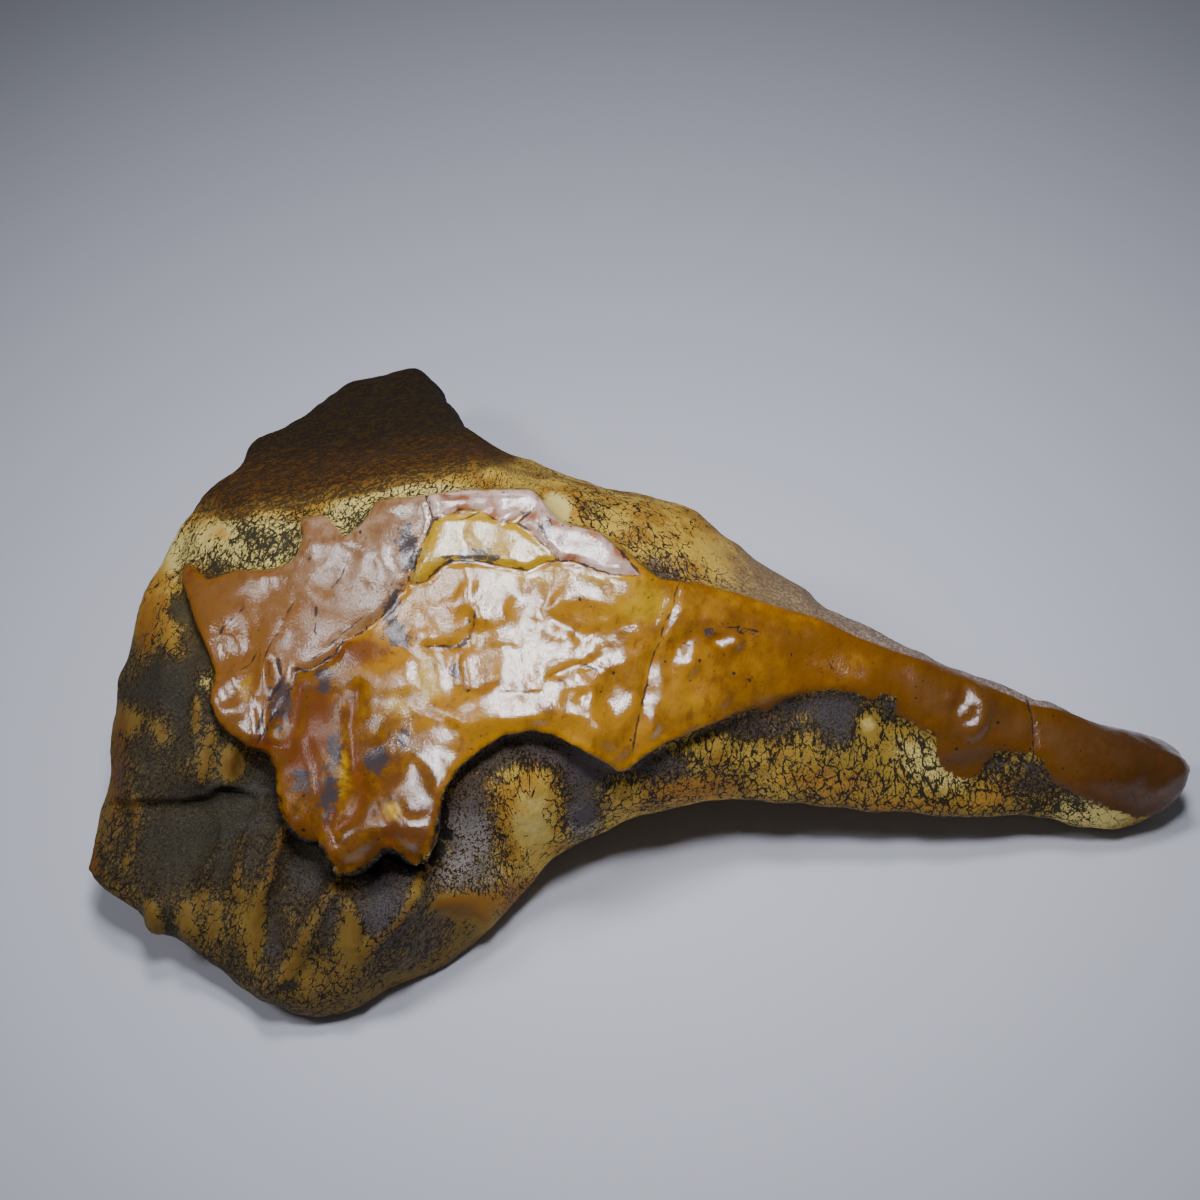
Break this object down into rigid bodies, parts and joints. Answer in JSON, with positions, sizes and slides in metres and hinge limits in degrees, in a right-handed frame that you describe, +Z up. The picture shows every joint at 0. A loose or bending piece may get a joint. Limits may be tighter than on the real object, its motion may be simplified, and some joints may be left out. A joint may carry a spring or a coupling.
{
  "type": "agate",
  "caption": "Wind-polished agate pebble: a broad fan-shaped mass with a raised glossy amber crust over a fluted grey matrix, running out into a blunt tail, resting on a flat underside.",
  "frame": {"origin": "under the middle of the stone's bounding box, on the surface it rests on", "axes": "+X along the stone from the broad end to the tail, +Y towards the spur, +Z up"},
  "size_m": [0.1196, 0.086, 0.0378],
  "materials": {
    "agate": "natural wind polish: glossy amber and orange crust, satin yellow, grey and black matrix"
  },
  "bodies": {
    "root": {"agate": "agate"}
  },
  "joints": []
}
